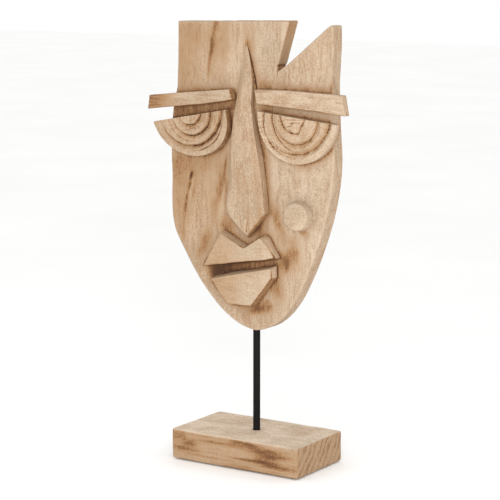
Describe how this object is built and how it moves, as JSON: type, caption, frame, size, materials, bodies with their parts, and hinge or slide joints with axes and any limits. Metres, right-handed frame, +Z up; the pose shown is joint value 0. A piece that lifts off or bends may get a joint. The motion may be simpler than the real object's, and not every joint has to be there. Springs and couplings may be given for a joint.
{
  "type": "carved wooden mask on a stand",
  "caption": "Carved wooden abstract face mask with raised brows, ringed half-disc eyes, long nose and angular lips, turning on a black rod above a rectangular wooden block.",
  "frame": {"origin": "middle of the underside of the felt that the base stands on", "axes": "+Z up along the rod; the face looks along -Y; +X is to the right of a viewer facing the mask"},
  "size_m": [0.2535, 0.095, 0.4893],
  "materials": {
    "board_wood": "whitewashed light hardwood, brown scorching around the carvings, vertical grain",
    "carving_wood": "whitewashed light hardwood, dry matt, hand-tool marks",
    "base_wood": "whitewashed light hardwood block, pale top, browner sides, end grain on the short sides",
    "black_steel": "satin black paint",
    "zinc_steel": "zinc plated",
    "felt": "pressed dark felt"
  },
  "bodies": {
    "stand": {"base_felt": "felt", "base_block": "base_wood", "base_screw": "zinc_steel", "base_washer": "zinc_steel", "rod": "black_steel"},
    "mask": {"face_board": "board_wood", "left_brow": "carving_wood", "right_brow": "carving_wood", "left_eye": "carving_wood", "right_eye": "carving_wood", "nose": "carving_wood", "upper_lip": "carving_wood", "lower_lip": "carving_wood", "cheek_disc": "carving_wood"}
  },
  "joints": [
    {"name": "mask_turn", "type": "hinge", "parent": "stand", "child": "mask", "pos_m": [0, 0, 0.18], "axis": [0, 0, 1], "continuous": true}
  ]
}
